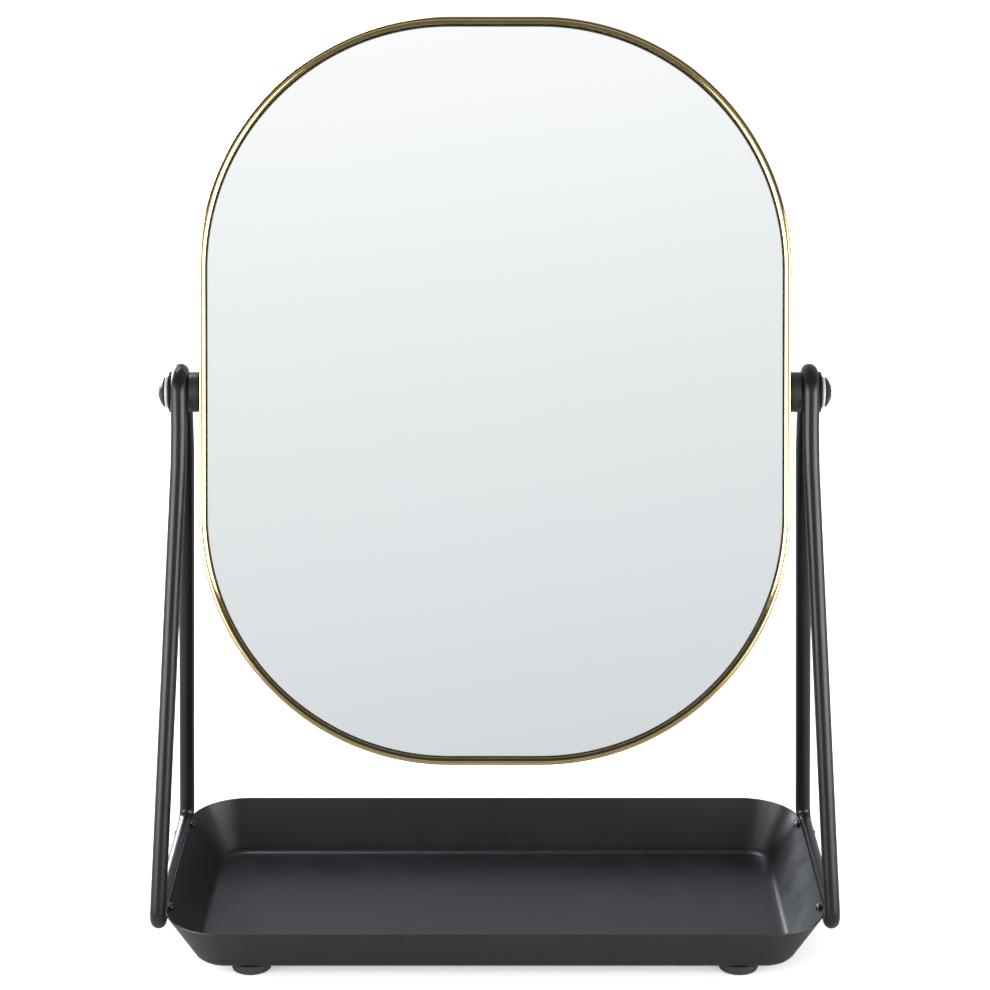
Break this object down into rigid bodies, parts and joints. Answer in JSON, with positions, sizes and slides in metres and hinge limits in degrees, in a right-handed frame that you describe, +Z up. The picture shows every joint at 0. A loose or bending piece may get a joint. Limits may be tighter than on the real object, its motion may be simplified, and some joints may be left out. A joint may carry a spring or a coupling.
{
  "type": "countertop mirror",
  "caption": "Round-cornered tilting mirror in a thin metal rim, hung between wire side frames over a shallow tray.",
  "frame": {"origin": "on the surface the pads rest on, centred under the tray", "axes": "+Z up; the glass faces -Y; the pivot axis runs along X"},
  "size_m": [0.2262, 0.108, 0.3022],
  "materials": {
    "tray": "satin black powder coat",
    "frame": "satin black powder coat",
    "rivet": "black",
    "pad": "matt",
    "rim": "polished gold plate",
    "mirror_glass": "silvered, clear",
    "board": "bare fibreboard",
    "rear_panel": "fine matt texture",
    "boss": "zinc plated",
    "screw": "black",
    "nylon": "natural nylon",
    "washer": "black",
    "spacer": "black nylon"
  },
  "bodies": {
    "stand": {"clamp_washer_left": "washer", "clamp_washer_right": "washer", "pad_front_left": "pad", "pad_front_right": "pad", "pad_rear_left": "pad", "pad_rear_right": "pad", "tray": "tray", "tray_rivet_front_left": "rivet", "tray_rivet_front_right": "rivet", "tray_rivet_rear_left": "rivet", "tray_rivet_rear_right": "rivet", "wire_frame_left": "frame", "wire_frame_right": "frame"},
    "mirror": {"core_board": "board", "friction_washer_left": "nylon", "friction_washer_right": "nylon", "mirror_glass": "mirror_glass", "mirror_rim": "rim", "pivot_boss_left": "boss", "pivot_boss_right": "boss", "pivot_screw_left": "screw", "pivot_screw_right": "screw", "rear_panel": "rear_panel", "spacer_left": "spacer", "spacer_right": "spacer"}
  },
  "joints": [
    {"name": "mirror_tilt", "type": "hinge", "parent": "stand", "child": "mirror", "pos_m": [0, 0, 0.1859], "axis": [1, 0, 0], "continuous": true}
  ]
}
